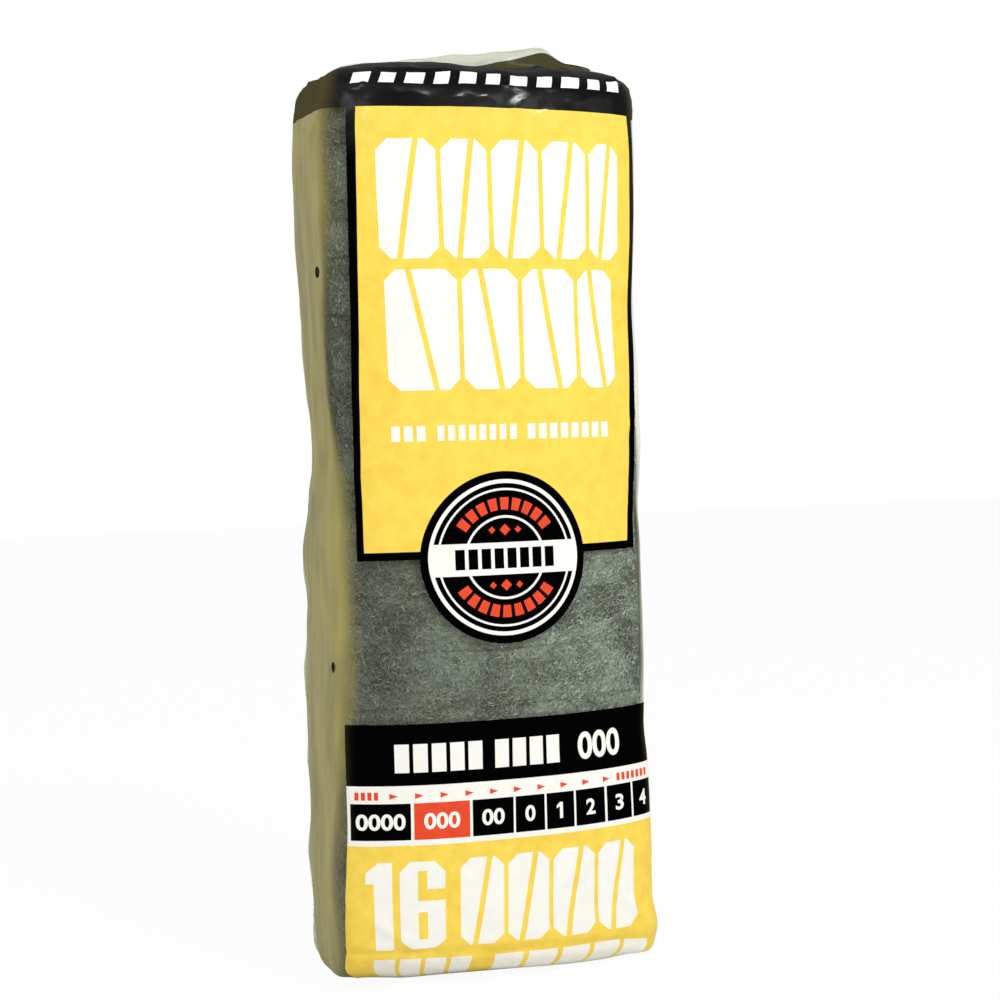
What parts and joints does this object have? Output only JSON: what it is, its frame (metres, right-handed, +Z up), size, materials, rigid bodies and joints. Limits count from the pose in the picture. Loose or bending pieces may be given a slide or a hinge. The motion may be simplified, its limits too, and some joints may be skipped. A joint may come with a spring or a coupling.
{
  "type": "steel wool pad pack",
  "caption": "Sealed clear film bag holding a column of steel wool pads, with printed fields of colour on its front, standing upright on its tucked bottom.",
  "frame": {"origin": "centre of the bag's bounding box, on the surface that it stands on", "axes": "+Z up through the column of pads, -Y towards the printed front, +X to the right of someone facing that front"},
  "size_m": [0.1145, 0.0648, 0.3131],
  "materials": {
    "clear_film": "clear, glossy, slightly yellowed film with soft wrinkles",
    "steel_wool": "matted very fine grey steel fibres",
    "yellow_print": "glossy film printed yellow on its inside",
    "black_print": "glossy film printed black on its inside",
    "white_print": "glossy film printed white on its inside",
    "red_print": "glossy film printed red on its inside"
  },
  "bodies": {
    "root": {"film_bag": "clear_film", "pad_01": "steel_wool", "pad_02": "steel_wool", "pad_03": "steel_wool", "pad_04": "steel_wool", "pad_05": "steel_wool", "pad_06": "steel_wool", "pad_07": "steel_wool", "pad_08": "steel_wool", "pad_09": "steel_wool", "pad_10": "steel_wool", "pad_11": "steel_wool", "pad_12": "steel_wool", "pad_13": "steel_wool", "pad_14": "steel_wool", "pad_15": "steel_wool", "pad_16": "steel_wool"}
  },
  "joints": []
}
